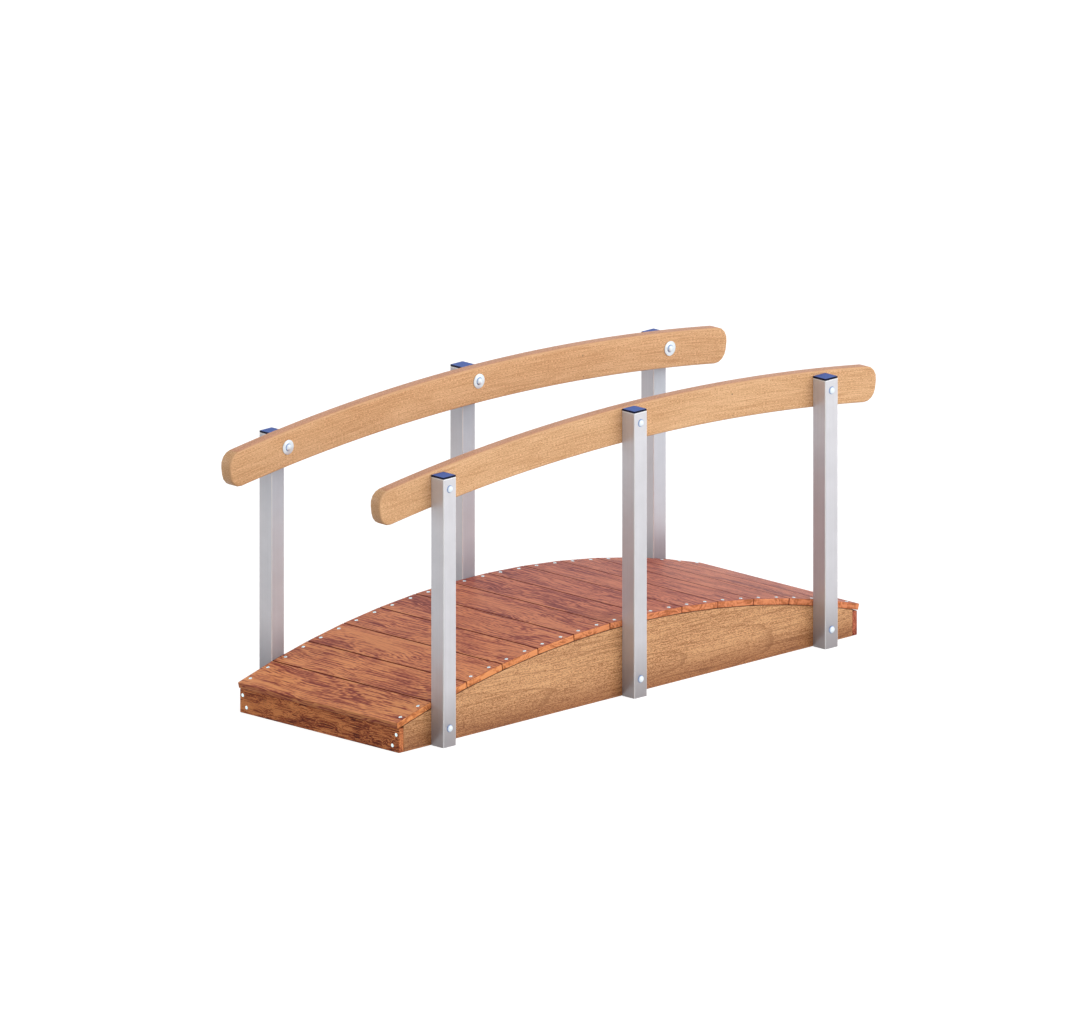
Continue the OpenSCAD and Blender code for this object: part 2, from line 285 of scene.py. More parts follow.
def stained_hardwood(name, stain, bold):
    """Hardwood under a red-brown stain: wavy growth lines that close into loops where the board is cut
    flat, purplish dark patches and pale orange ones along the grain, fine streaks and pores, and a thin oil
    film. A painted shade gives it a purplish cast toward the right end. Edge over 0 is darker, for grime in
    the joints and a painted shade in their gaps and along the end and outer edges. Edge under 0 is a sawn
    end, painted a paler orange for the light that falls on it. stain runs from the darkest late wood to the
    palest early wood, and bold is the weight of the patches. Real streaks and pores are under a millimetre
    wide, and are drawn about four times as wide, so that they show."""
    material, tree, shader = new_material(name)
    # Waves per metre along, across and through the grain
    streak_rate = (1 / 0.2, 1 / 0.0036, 1 / 0.0036)
    pore_rate = (1 / 0.014, 1 / 0.0034, 1 / 0.0034)
    flame_rate = (3.4, 13.0, 30.0)
    sway_rate = (3.5, 9.0, 9.0)
    sway_depth = (0.075, 0.075, 0.075)
    ring_spacing = 0.018
    ring_shade = 0.07
    pith_depth = 0.07
    taper = 0.035
    streak_share = 1.6
    pore_share = 0.6
    darkest, palest = 0.53 + bold / 2, 1.49 + bold / 2
    late_start, late_end = 0.2, 0.9
    stain_places = (0.12, 0.38, 0.6, 0.88)
    # Painted shade: a purplish cast that grows from the first x to the second
    shade_start_x, shade_full_x = -0.85, 0.1
    sawn_light_share = 0.28
    # A purplish painted-shade tint, a joint colour for grime and painted shade, and painted light on sawn
    # ends
    mauve_shade_tint, joint_grime_and_shade, sawn_light_orange = "#EAD9FF", "#682410", "#FFA84E"
    grain = add(tree, "Attribute", attribute_name="grain").outputs["Vector"]
    slow = add(tree, "VectorMath", {0: grain, 1: sway_rate}, operation="MULTIPLY").outputs[0]
    sway = add(tree, "TexNoise", {"Vector": slow, "Scale": 1.0, "Detail": 1.5}).outputs[0]
    aside = add(tree, "CombineXYZ", {1: sway, 2: sway}).outputs[0]
    bent = add(tree, "VectorMath", {0: aside, 1: sway_depth, 2: grain}, operation="MULTIPLY_ADD").outputs[0]
    axes = add(tree, "SeparateXYZ", {0: bent}).outputs
    deep = add(tree, "Math", {0: axes[0], 1: taper, 2: axes[2]}, operation="MULTIPLY_ADD").outputs[0]
    deeper = add(tree, "Math", {0: deep, 1: pith_depth}, operation="ADD").outputs[0]
    from_pith = add(tree, "CombineXYZ", {0: axes[1], 1: deeper}).outputs[0]
    radius = add(tree, "VectorMath", {0: from_pith}, operation="LENGTH").outputs["Value"]
    count = add(tree, "Math", {0: radius, 1: ring_spacing}, operation="DIVIDE").outputs[0]
    ring = add(tree, "Math", {0: count}, operation="FRACT").outputs[0]
    late = add(tree, "MapRange",
        {0: ring, 1: late_start, 2: late_end, 3: ring_shade, 4: -ring_shade}).outputs[0]
    flames = add(tree, "VectorMath", {0: bent, 1: flame_rate}, operation="MULTIPLY").outputs[0]
    flame = add(tree, "TexNoise",
        {"Vector": flames, "Scale": 1.0, "Detail": 2.0, "Roughness": 0.5, "Distortion": 0.4}).outputs[0]
    streaks = add(tree, "VectorMath", {0: bent, 1: streak_rate}, operation="MULTIPLY").outputs[0]
    streak = add(tree, "TexNoise", {"Vector": streaks, "Scale": 1.0, "Detail": 0.0}).outputs[0]
    pores = add(tree, "VectorMath", {0: bent, 1: pore_rate}, operation="MULTIPLY").outputs[0]
    pore = add(tree, "TexNoise", {"Vector": pores, "Scale": 1.0, "Detail": 0.0}).outputs[0]
    streaky = add(tree, "Math", {0: streak, 1: streak_share}, operation="MULTIPLY").outputs[0]
    figure = add(tree, "Math", {0: flame, 1: bold, 2: streaky}, operation="MULTIPLY_ADD").outputs[0]
    pitted = add(tree, "Math", {0: pore, 1: pore_share, 2: figure}, operation="MULTIPLY_ADD").outputs[0]
    spread = add(tree, "MapRange", {0: pitted, 1: darkest, 2: palest, 3: 0.0, 4: 1.0}).outputs[0]
    tone = add(tree, "Math", {0: spread, 1: late}, operation="ADD").outputs[0]
    body = add(tree, "ValToRGB", {0: tone}, stops=list(zip(stain_places, stain))).outputs[0]
    # The purplish painted shade toward the right end
    along = add(tree, "SeparateXYZ", {0: add(tree, "TexCoord").outputs["Object"]}).outputs[0]
    far_shade = add(tree, "MapRange", {0: along, 1: shade_start_x, 2: shade_full_x, 3: 0.0, 4: 1.0}).outputs[0]
    mauve_shaded = add(tree, "Mix", {0: far_shade, 6: body, 7: linear(mauve_shade_tint)}, data_type="RGBA",
        blend_type="MULTIPLY").outputs[2]
    # Grime and painted shade in the joints and along the end and outer edges
    edge = add(tree, "Attribute", attribute_name="edge").outputs["Fac"]
    jointed = add(tree, "Mix", {0: edge, 6: mauve_shaded, 7: linear(joint_grime_and_shade)}, data_type="RGBA").outputs[2]
    # Painted light on the sawn ends, a paler orange
    sawn = add(tree, "Math", {0: edge, 1: -sawn_light_share}, operation="MULTIPLY").outputs[0]
    edged = add(tree, "Mix", {0: sawn, 6: jointed, 7: linear(sawn_light_orange)}, data_type="RGBA").outputs[2]
    tree.links.new(edged, shader.inputs["Base Color"])
    shader.inputs["Roughness"].default_value = 0.48
    shader.inputs["Specular IOR Level"].default_value = 0.1
    bump = add(tree, "Bump", {"Height": streak, "Strength": 0.15, "Distance": 0.0008})
    tree.links.new(bump.outputs[0], shader.inputs["Normal"])
    return material


end_hardwood = stained_hardwood("dark_stained_hardwood", ("#562319", "#93482F", "#BD6A42", "#E6955D"), 1.6)
cuts = np.random.default_rng(11)
for end in ["left", "right"]:
    low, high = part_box(end + "_end_board")
    width, height, depth = high.y - low.y, high.z - low.z, high.x - low.x
    face = rounded_face(width, height, BOARD_CORNER, *BOARD_GRID)
    local, faces, _ = eased_board(face, depth, BOARD_EASE)
    points = np.column_stack([low.x + local[:, 2], local[:, 0], (low.z + high.z) / 2 + local[:, 1]])
    grain = local * BOARD_FINER + cuts.uniform(CUT_LOW, CUT_HIGH)
    make_piece(end + "_board", points, faces, end_hardwood, "deck_timber", [end + "_end_board"], grain)

# Deck planks
# Flat boards of stained hardwood, laid across both side beams along the arch with a narrow joint between
# them. Each is cut from another part of the log. The sawn ends get a painted paler orange for the light
# on them, and streaks at a slant.

PLANK_W = 0.140
PLANK_T = 0.018
DECK_OVERHANG = 0.005
PLANK_SEAT = 0.0002
PLANK_GRID = (7, 9)
# Shares of grime and painted shade on the plank's end edges and on its outer long edges
ARRIS_GRIME_AND_SHADE = 0.6
OUTER_GRIME_AND_SHADE = 0.15
SAWN_FINER = [2.5, 1, 0.6]
SAWN_SLANT = [0, 0, 0.05]

plank_nodes = sorted(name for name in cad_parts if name.startswith("deck_plank_"))
plank_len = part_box(plank_nodes[0])[1].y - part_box(plank_nodes[0])[0].y
base_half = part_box("right_end_board")[1].x
deck_angle = 2 * math.asin((base_half + DECK_OVERHANG) / beam_r)
plank_turns = (np.arange(len(plank_nodes)) - (len(plank_nodes) - 1) / 2) * deck_angle / len(plank_nodes)


def on_arch(local, turn):
    """Points given as (along the walkway, across it, height over the beams), on the tangent of the beams'
    arc at the angle turn: the tangent is (cos, -sin) and the outward normal (sin, cos) in x and z."""
    reach = beam_r + PLANK_SEAT + local[:, 2]
    x = local[:, 0] * math.cos(turn) + reach * math.sin(turn)
    z = beam_centre_h - local[:, 0] * math.sin(turn) + reach * math.cos(turn)
    return np.column_stack([x, local[:, 1], z])


deck_hardwood = stained_hardwood("stained_hardwood", ("#8A4138", "#B6654B", "#D6845B", "#F0A26C"), 1.5)
plank_face = rounded_face(PLANK_W, plank_len, BOARD_CORNER, *PLANK_GRID)
for node, turn in zip(plank_nodes, plank_turns):
    local, faces, _ = eased_board(plank_face, PLANK_T, BOARD_EASE)
    joined = (local[:, 0] * np.sign(turn) < 0) | (abs(turn) < plank_turns[-1])
    to_side = PLANK_W / 2 - np.abs(local[:, 0])
    to_end = plank_len / 2 - np.abs(local[:, 1])
    joint = joined & (to_side < BOARD_EASE * 0.9)
    outer = ~joined & (to_side < BOARD_EASE * 0.5)
    sawn = to_end < BOARD_EASE * 0.4
    arris = to_end < BOARD_EASE + FACE_MARGIN / 2
    # Joint and end edges: grime and painted shade; outer edges a little; sawn ends painted light (-1)
    edge = np.where(sawn, -1.0, np.maximum(joint, ARRIS_GRIME_AND_SHADE * arris) + OUTER_GRIME_AND_SHADE * outer)
    slant = local * SAWN_FINER + local[:, [0]] * SAWN_SLANT
    grain = np.where(sawn[:, None], slant, local[:, [1, 0, 2]]) + cuts.uniform(CUT_LOW, CUT_HIGH)
    make_piece(node.replace("deck_", ""), on_arch(local, turn), faces, deck_hardwood, "deck_timber", [node],
        grain, edge)

# Deck and end board screws
# Zinc-plated wood screws with low domed heads and a star recess, two at each end of a plank over the side
# beams, and four in each end board, staggered so as not to split it.

SCREW_D = 0.0105
SCREW_H = 0.0016
SCREW_FROM_MIDDLE = 0.036
SCREW_FROM_END = 0.018
SCREW_SINK = 0.0002
SCREW_SEGMENTS = 24
BOARD_SCREWS = [(0.011, 0.051), (0.026, 0.018)]


def turned(profile, segments, lobes=None):
    """A turned solid: the profile's (radius, height) points are carried round the axis in steps, from the
    pole on top to the pole below. lobes gives each point's share of a six-pointed wave in its radius."""
    radius, height = np.asarray(profile, float).T
    angle = np.linspace(0, 2 * np.pi, segments, endpoint=False)
    wave = 1 + np.outer(np.zeros(len(radius)) if lobes is None else lobes, np.cos(6 * angle))
    ring = radius[:, None] * wave
    z = np.broadcast_to(height[:, None], ring.shape)
    points = np.stack([ring * np.cos(angle), ring * np.sin(angle), z], axis=-1)[1:-1].reshape(-1, 3)
    points = np.concatenate([points, [[0, 0, height[0]], [0, 0, height[-1]]]])
    index = np.arange(len(points) - 2).reshape(-1, segments)
    ahead = np.roll(index, -1, axis=1)
    bands = np.stack([index[:-1], index[1:], ahead[1:], ahead[:-1]], axis=-1).reshape(-1, 4)
    top = np.stack([np.full(segments, len(points) - 2), index[0], ahead[0]], axis=-1)
    low = np.stack([np.full(segments, len(points) - 1), ahead[-1], index[-1]], axis=-1)
    return points, [*bands.tolist(), *top.tolist(), *low.tolist()]


def set_out(shape, places, axes):
    """Copies of one turned shape in one mesh: each stands at its place with its axis along the given one.
    The first cross direction is the cross product of a world axis far from the given one with it, and the
    second is that of the given axis with the first."""
    points, faces = shape
    axes = np.asarray(axes, float)
    helper = np.where(np.abs(axes[:, [1]]) > 0.9, [[1.0, 0, 0]], [[0, 1.0, 0]])
    first = np.cross(helper, axes)
    first /= np.linalg.norm(first, axis=1, keepdims=True)
    turn = np.stack([first, np.cross(axes, first), axes], axis=1)
    moved = np.einsum("pk,nkx->npx", points, turn) + np.asarray(places)[:, None]
    copies = [[i + n * len(points) for i in f] for n in range(len(axes)) for f in faces]
    return moved.reshape(-1, 3), copies


def zinc_plate(name, colour, groove, rough, bare):
    """Zinc plating on steel, passivated blue: a cold, nearly white satin metal with a faint mottle, and a
    painted blue shade toward the groove under a head. bare is how much of it mirrors, and the rest scatters
    as the passivation does. The mottle is drawn 4 mm wide, several times its size, so that it shows."""
    material, tree, shader = new_material(name)
    mottle_size = 0.004
    place = add(tree, "TexCoord").outputs["Object"]
    mottle = add(tree, "TexNoise", {"Vector": place, "Scale": 1 / mottle_size, "Detail": 2.0}).outputs[0]
    sheen = add(tree, "MapRange", {0: mottle, 1: 0.3, 2: 0.7, 3: rough * 0.85, 4: rough * 1.15}).outputs[0]
    # The edge attribute brings in the painted groove shade
    sunk = add(tree, "Attribute", attribute_name="edge").outputs["Fac"]
    plate = add(tree, "Mix", {0: sunk, 6: linear(colour), 7: linear(groove)}, data_type="RGBA").outputs[2]
    tree.links.new(plate, shader.inputs["Base Color"])
    shader.inputs["Metallic"].default_value = bare
    tree.links.new(sheen, shader.inputs["Roughness"])
    return material


r = SCREW_D / 2
screw_profile = [(0, 0.5 * SCREW_H), (0.30 * r, 0.5 * SCREW_H), (0.42 * r, 0.85 * SCREW_H),
    (0.55 * r, 0.92 * SCREW_H), (0.78 * r, 0.7 * SCREW_H), (0.94 * r, 0.36 * SCREW_H), (r, 0.1 * SCREW_H),
    (r, -SCREW_SINK), (0, -SCREW_SINK)]
screw_lobes = [0, 0.2, 0.2, 0, 0, 0, 0, 0, 0]
# The second colour is the painted groove shade
screw_zinc = zinc_plate("zinc_plated_screw", "#E2F9FF", "#8FB4D0", 0.25, 0.9)
seats = [(across, end) for end in (-1, 1) for across in (-1, 1)]
screw_y = plank_len / 2 - SCREW_FROM_END
offsets = np.array([[across * SCREW_FROM_MIDDLE, end * screw_y, PLANK_T] for across, end in seats])
places = np.concatenate([on_arch(offsets, turn) for turn in plank_turns])
axes = np.repeat([[math.sin(t), 0, math.cos(t)] for t in plank_turns], len(seats), axis=0)
screw = turned(screw_profile, SCREW_SEGMENTS, screw_lobes)
make_piece("deck_screws", *set_out(screw, places, axes), screw_zinc, "zinc_fastener", [])

places = np.array([[e * base_half, s * (plank_len / 2 - inset), h]
    for e in (-1, 1) for s in (-1, 1) for inset, h in BOARD_SCREWS])
axes = np.column_stack([np.sign(places[:, 0]), np.zeros((len(places), 2))])
make_piece("board_screws", *set_out(screw, places, axes), screw_zinc, "zinc_fastener", [])

# Posts
# Square steel tube, hot-dip galvanised and brushed down to a satin grey, bolted to the outer faces of the
# side beams and handrails. The tube's ends are deburred.

POST_HALF = 0.025
POST_WALL = 0.0025
POST_CORNER = 0.003
POST_INNER_CORNER = 0.0015
POST_DEBURR = 0.0004
POST_FLANK = 0.0015
POST_RIM = 0.0022
POST_CORNER_POINTS = 9
sides = ["front", "back"]
stations = ["left", "middle", "right"]


def square_ring(half, corner):
    """The outline of a square tube: four quarter circles, each with a point on both flats beside it.
    Returns the points and how far each is on a corner."""
    angles = np.linspace(0, np.pi / 2, POST_CORNER_POINTS)
    quarter = half - corner + corner * np.column_stack([np.cos(angles), np.sin(angles)])
    flank = half - corner - POST_FLANK
    quarter = np.concatenate([[[half, flank]], quarter, [[flank, half]]])
    turns = [np.array([[c, s], [-s, c]]) for c, s in [(1, 0), (0, 1), (-1, 0), (0, -1)]]
    return np.concatenate([quarter @ turn for turn in turns]), np.tile([0, *np.sin(2 * angles), 0], 4)


def tube(low, high):
    """The wall of the tube as a closed skin: the square outline, drawn in by the deburring at its ends and
    by the wall on the inside, is carried up the outer face and down the inner one. The corners and a
    narrow rim at the sawn top are marked for a painted highlight."""
    half = (high.x - low.x) / 2
    # The last value in each level marks the top rim for the painted highlight
    levels = [(POST_DEBURR, low.z, 0), (0, low.z + POST_DEBURR, 0), (0, high.z - 1.6 * POST_RIM, 0),
        (0, high.z - POST_RIM, 1), (0, high.z - POST_DEBURR, 1), (POST_DEBURR, high.z, 1),
        (POST_WALL, high.z, 0), (POST_WALL, low.z, 0)]
    outlines = [square_ring(half - i, max(POST_CORNER - i, POST_INNER_CORNER)) for i, z, b in levels]
    edge_highlight = np.stack([np.maximum(corner, b) for (ring, corner), (i, z, b) in zip(outlines, levels)])
    rings = np.stack([ring for ring, corner in outlines])
    rings = rings + np.array([(low.x + high.x) / 2, (low.y + high.y) / 2])
    heights = np.array([z for i, z, b in levels])
    rings = np.concatenate([rings, np.broadcast_to(heights[:, None, None], (*rings.shape[:2], 1))], axis=2)
    index = np.arange(rings.shape[0] * rings.shape[1]).reshape(rings.shape[:2])
    above, ahead = np.roll(index, -1, axis=0), np.roll(index, -1, axis=1)
    faces = np.stack([index, ahead, np.roll(above, -1, axis=1), above], axis=-1).reshape(-1, 4)
    return rings.reshape(-1, 3), faces, edge_highlight.ravel()


def galvanised_steel(name, colour, inward_cool_tint, foot_shade_colour, bright):
    """Galvanised steel tube, brushed: a pale satin grey with faint streaks up the tube and a cloudy zinc
    bloom. The corners carry a painted highlight, the inner faces a painted colder grey against the warm
    light bounced from the deck, and the lowest part a painted shade, duller and darker toward the ground.
    On the back posts a painted shade darkens the tube near the deck and under the rail. Weathered zinc
    scatters more than it mirrors, so it counts as a quarter metal. The brush marks are drawn 3 mm wide, so
    that they show. The height over the deck is the height plus x squared over twice the radius of the arch,
    less the height of the deck's crown."""
    material, tree, shader = new_material(name)
    brush_rate = (300.0, 300.0, 2.0)
    bloom_size = 0.05
    # Painted shade toward the ground, full at the first height and clear at the second
    foot_low, foot_top = -0.03, 0.2
    crown = beam_crown_h + PLANK_T
    # Painted shade on the back posts near the deck and under the rail, with its tint
    deck_shade, deck_shade_reach = 0.5, 0.13
    rail_shade, rail_shade_low, rail_shade_top = 0.45, 0.52, 0.7
    shade_tint = "#A6ACB6"
    metal_share = 0.25
    place = add(tree, "TexCoord").outputs["Object"]
    brushed = add(tree, "VectorMath", {0: place, 1: brush_rate}, operation="MULTIPLY").outputs[0]
    streak = add(tree, "TexNoise", {"Vector": brushed, "Scale": 1.0, "Detail": 2.0}).outputs[0]
    bloom = add(tree, "TexNoise", {"Vector": place, "Scale": 1 / bloom_size, "Detail": 3.0}).outputs[0]
    both = add(tree, "Math", {0: streak, 1: bloom}, operation="ADD").outputs[0]
    shade = add(tree, "MapRange", {0: both, 1: 0.7, 2: 1.3, 3: 0.95, 4: 1.04}).outputs[0]
    axes = add(tree, "SeparateXYZ", {0: place}).outputs
    height = axes[2]
    up = add(tree, "MapRange", {0: height, 1: foot_low, 2: foot_top, 3: 0.0, 4: 1.0},
        interpolation_type="SMOOTHSTEP").outputs[0]
    inward = add(tree, "Attribute", attribute_name="grain").outputs["Fac"]
    # A painted colder grey on the inner faces, against the warm light bounced from the deck
    body = add(tree, "Mix", {0: inward, 6: linear(colour), 7: linear(inward_cool_tint)}, data_type="RGBA").outputs[2]
    zinc = add(tree, "Mix", {0: up, 6: linear(foot_shade_colour), 7: body}, data_type="RGBA").outputs[2]
    shaded = add(tree, "Mix", {0: 1.0, 6: zinc, 7: shade}, data_type="RGBA",
        blend_type="MULTIPLY").outputs[2]
    behind = add(tree, "Math", {0: axes[1], 1: 0.0}, operation="GREATER_THAN").outputs[0]
    square = add(tree, "Math", {0: axes[0], 1: axes[0]}, operation="MULTIPLY").outputs[0]
    level = add(tree, "Math", {0: square, 1: 0.5 / beam_r, 2: height}, operation="MULTIPLY_ADD").outputs[0]
    near_deck = add(tree, "MapRange",
        {0: level, 1: crown + deck_shade_reach, 2: crown, 3: 0.0, 4: deck_shade},
        interpolation_type="SMOOTHSTEP").outputs[0]
    near_rail = add(tree, "MapRange",
        {0: height, 1: rail_shade_low, 2: rail_shade_top, 3: 0.0, 4: rail_shade}).outputs[0]
    near = add(tree, "Math", {0: near_deck, 1: near_rail}, operation="MAXIMUM").outputs[0]
    share = add(tree, "Math", {0: near, 1: behind}, operation="MULTIPLY").outputs[0]
    shade_painted = add(tree, "Mix", {0: share, 6: shaded, 7: linear(shade_tint)}, data_type="RGBA",
        blend_type="MULTIPLY").outputs[2]
    # Painted highlight on the corners and the top rim
    edge_highlight = add(tree, "Attribute", attribute_name="edge").outputs["Fac"]
    edged = add(tree, "Mix", {0: edge_highlight, 6: shade_painted, 7: linear(bright)}, data_type="RGBA").outputs[2]
    tree.links.new(edged, shader.inputs["Base Color"])
    rough = add(tree, "MapRange", {0: streak, 1: 0.3, 2: 0.7, 3: 0.36, 4: 0.5}).outputs[0]
    tree.links.new(rough, shader.inputs["Roughness"])
    bare = add(tree, "MapRange", {0: edge_highlight, 1: 0.0, 2: 1.0, 3: metal_share, 4: 0.0}).outputs[0]
    tree.links.new(bare, shader.inputs["Metallic"])
    return material


# Colours: the body, a painted cool tint for the inner faces, a painted shade at the ground, the highlight
post_zinc = galvanised_steel("galvanised_steel", "#DCDBE0", "#D6DCE5", "#A8A2A5", "#F6F6F8")
for side in sides:
    for station in stations:
        node = "%s_%s_post" % (side, station)
        points, faces, edge_highlight = tube(*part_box(node))
        middle_y = points[:, 1].mean()
        # The inward share is 1 on the face toward the walkway and falls off round its corners. It carries a
        # painted colder grey, against the warm light bounced from the deck.
        inward = np.clip((middle_y - points[:, 1]) * np.sign(middle_y) / POST_HALF, 0, 1) ** 8
        inward = np.repeat(inward[:, None], 3, axis=1)
        make_piece(node + "_tube", points, faces, post_zinc, "post_steel", [node], inward, edge_highlight)

# Post caps
# Injection-moulded plastic plugs in royal blue, tapped into the tops of the tubes. The lid is as wide as
# the tube, with softly rounded edges, and a painted shade darkens its rim.

CAP_T = 0.0055
CAP_EASE = 0.0014
CAP_GRID = (3, 3)


def moulded_plastic(name, lid, rim):
    """Moulded polyethylene: an even royal blue with a fine spark-eroded grain, and a much darker rim,
    a painted shade for the line of shade under its rounded edges. Edge is 1 on the lid and 0 on the rim.
    The grain is drawn 4 mm wide, many times its size, so that it shows."""
    material, tree, shader = new_material(name)
    pit_size = 0.004
    place = add(tree, "TexCoord").outputs["Object"]
    pitted = add(tree, "TexNoise", {"Vector": place, "Scale": 1 / pit_size, "Detail": 2.0}).outputs[0]
    tone = add(tree, "MapRange", {0: pitted, 1: 0.3, 2: 0.7, 3: 0.85, 4: 1.15}).outputs[0]
    on_lid = add(tree, "Attribute", attribute_name="edge").outputs["Fac"]
    blue = add(tree, "Mix", {0: on_lid, 6: linear(rim), 7: linear(lid)}, data_type="RGBA").outputs[2]
    shaded = add(tree, "Mix", {0: 1.0, 6: blue, 7: tone}, data_type="RGBA",
        blend_type="MULTIPLY").outputs[2]
    tree.links.new(shaded, shader.inputs["Base Color"])
    shader.inputs["Roughness"].default_value = 0.5
    shader.inputs["Specular IOR Level"].default_value = 0.15
    bump = add(tree, "Bump", {"Height": pitted, "Strength": 0.1, "Distance": 0.0003})
    tree.links.new(bump.outputs[0], shader.inputs["Normal"])
    return material


# The near-black rim colour is painted shade under the rounded lid edge
cap_blue = moulded_plastic("moulded_polyethylene", "#4566B6", "#0A0F32")
for side in sides:
    for station in stations:
        node = "%s_%s_post_cap" % (side, station)
        low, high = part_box(node)
        width = high.x - low.x
        face = rounded_face(width, width, POST_CORNER, *CAP_GRID)
        local, faces, _ = eased_board(face, CAP_T, CAP_EASE)
        middle = np.array([(low.x + high.x) / 2, (low.y + high.y) / 2, high.z - CAP_T])
        lid = np.abs(local[:, :2]).max(axis=1) < width / 2 - CAP_EASE - FACE_MARGIN / 2
        make_piece("%s_%s_cap" % (side, station), local + middle, faces, cap_blue, "cap_plastic", [node],
            edge=lid)

# Handrails
# Boards of oiled beech, sawn to a long shallow arc, with the ends rounded and every edge run over with a
# rounding cutter. They are bolted to the inner sides of the posts, and two pin knots show in each.

RAIL_DEPTH = 0.102
RAIL_FALL = 0.041
RAIL_CORNER = 0.040
RAIL_EASE = 0.005
RAIL_TOP_H = 0.828
RAIL_REACH = 0.225
RAIL_GRID = (97, 6)
RAIL_CUTS = {"front": (3.1, 0.02, 0.01), "back": (5.4, 0.02, 0.01)}
PIN_KNOTS = [(0.409, 0.7845, 0.0035), (0.412, 0.7230, 0.0028)]
PIN_KNOT_BROWN = "#6E4526"
PIN_KNOT_SHADE = 0.75
# A painted shade, darker and pinker, on the rail's flat top face
RAIL_TOP_SHADE_TINT = "#F8E4EC"
RAIL_TOP_FADE = (0.001, 0.0001)

post_low, post_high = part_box("front_right_post")
post_x = (post_low.x + post_high.x) / 2
rail_r = (post_x**2 + RAIL_FALL**2) / (2 * RAIL_FALL)
rail_centre_h = RAIL_TOP_H - RAIL_DEPTH / 2 - rail_r
rail_arc = 2 * rail_r * math.asin((post_x + RAIL_REACH) / rail_r)

rail_beech = oiled_beech("oiled_beech_rail", "#EDBF90", "#DCAA7B", "#C58F5E", "#FFFFFF", 0.007, 0.2)
tree = rail_beech.node_tree
shader = tree.nodes["Principled BSDF"]
colour = shader.inputs["Base Color"].links[0].from_socket
place = add(tree, "SeparateXYZ", {0: add(tree, "TexCoord").outputs["Object"]}).outputs
flat_place = add(tree, "CombineXYZ", {0: place[0], 1: place[2]}).outputs[0]
for x, z, size in PIN_KNOTS:
    off = add(tree, "VectorMath", {0: flat_place, 1: (x, z, 0.0)}, operation="DISTANCE").outputs["Value"]
    share = add(tree, "MapRange", {0: off, 1: size * 0.4, 2: size, 3: PIN_KNOT_SHADE, 4: 0.0}).outputs[0]
    colour = add(tree, "Mix", {0: share, 6: colour, 7: linear(PIN_KNOT_BROWN)}, data_type="RGBA").outputs[2]
across = add(tree, "SeparateXYZ",
    {0: add(tree, "Attribute", attribute_name="grain").outputs["Vector"]}).outputs[1]
# The painted shade covers the flat top face
fade_start, fade_end = [RAIL_CUTS["front"][1] + RAIL_DEPTH / 2 - below for below in RAIL_TOP_FADE]
top = add(tree, "MapRange", {0: across, 1: fade_start, 2: fade_end, 3: 0.0, 4: 1.0}).outputs[0]
colour = add(tree, "Mix", {0: top, 6: colour, 7: linear(RAIL_TOP_SHADE_TINT)}, data_type="RGBA",
    blend_type="MULTIPLY").outputs[2]
tree.links.new(colour, shader.inputs["Base Color"])
rail_face = rounded_face(rail_arc, RAIL_DEPTH, RAIL_CORNER, *RAIL_GRID)
for side, cut in RAIL_CUTS.items():
    low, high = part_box(side + "_handrail")
    local, faces, edge = eased_board(rail_face, high.y - low.y, RAIL_EASE)
    # The straight board is bent on its arc: the length is carried round the centre, the depth is the reach
    turn, reach = local[:, 0] / rail_r, rail_r + local[:, 1]
    x, z = reach * np.sin(turn), rail_centre_h + reach * np.cos(turn)
    points = np.column_stack([x, high.y - local[:, 2], z])
    make_piece(side + "_rail", points, faces, rail_beech, "rail_timber", [side + "_handrail"], local + cut,
        edge)

# Bolts, washers and nuts
# Dome-headed bolts, one through each post and handrail and one through each post and side beam. Inside, a
# wide washer spreads the load on the timber under a domed sleeve nut. All are bright zinc.

DOME_D = 0.022
DOME_H = 0.006
WASHER_D = 0.042
WASHER_T = 0.003
WASHER_EASE = 0.0006
DOME_RINGS = 9
DOME_SEGMENTS = 40
WASHER_SEGMENTS = 56
RAIL_BOLT_DROP = 0.031
BEAM_BOLT_H = 0.053
# The second colour is the painted shade toward the groove
bolt_zinc = zinc_plate("zinc_plated_bolt", "#EEF8FF", "#3E7CCB", 0.4, 0.45)

dome_r = ((DOME_D / 2) ** 2 + DOME_H**2) / (2 * DOME_H)
sweep = np.linspace(0, math.asin(DOME_D / 2 / dome_r), DOME_RINGS)
dome_profile = np.column_stack([dome_r * np.sin(sweep), dome_r * np.cos(sweep) - dome_r + DOME_H])
dome_profile = [*dome_profile.tolist(), (0, 0)]
dome = turned(dome_profile, DOME_SEGMENTS)
# The outer quarter of the dome takes a painted shade toward the groove under it
dome_groove_shade = np.clip(np.hypot(*dome[0][:, :2].T) / (DOME_D / 2) * 4 - 3, 0, 1)
half = WASHER_D / 2
washer = turned([(0, WASHER_T), (half - WASHER_EASE, WASHER_T), (half, WASHER_T - WASHER_EASE),
    (half, WASHER_EASE), (half - WASHER_EASE, 0), (0, 0)], WASHER_SEGMENTS)

